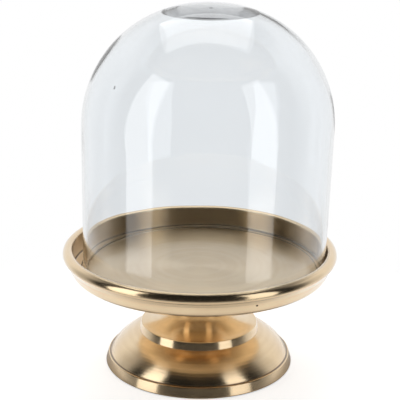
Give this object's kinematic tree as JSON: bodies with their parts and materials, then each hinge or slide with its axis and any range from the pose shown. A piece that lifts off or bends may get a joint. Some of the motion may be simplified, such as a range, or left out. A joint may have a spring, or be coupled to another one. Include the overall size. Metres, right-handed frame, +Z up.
{
  "type": "bell jar dome",
  "caption": "Clear glass bell jar dome that lifts off a footed, brass-coloured round metal tray with a raised lip, for displaying small objects.",
  "frame": {"origin": "on the stand's axis, on the surface that the four foot pads rest on", "axes": "+Z up along the stand's axis; the dome stands a little off the axis towards +X"},
  "size_m": [0.2104, 0.2104, 0.2814],
  "materials": {
    "glass": "clear, hand blown, polished",
    "brass_tone_metal": "satin, lathe turned, brass coloured",
    "zinc_steel": "zinc plated",
    "pad_rubber": "matt"
  },
  "bodies": {
    "stand": {"tray": "brass_tone_metal", "neck": "brass_tone_metal", "base_bell": "brass_tone_metal", "tie_rod": "zinc_steel", "flat_washer": "zinc_steel", "spring_washer": "zinc_steel", "hex_nut": "zinc_steel", "foot_pad_1": "pad_rubber", "foot_pad_2": "pad_rubber", "foot_pad_3": "pad_rubber", "foot_pad_4": "pad_rubber"},
    "dome": {"glass_dome": "glass"}
  },
  "joints": [
    {"name": "dome_lift", "type": "slide", "parent": "stand", "child": "dome", "axis": [0, 0, 1], "range_m": [0, 0.25]}
  ]
}
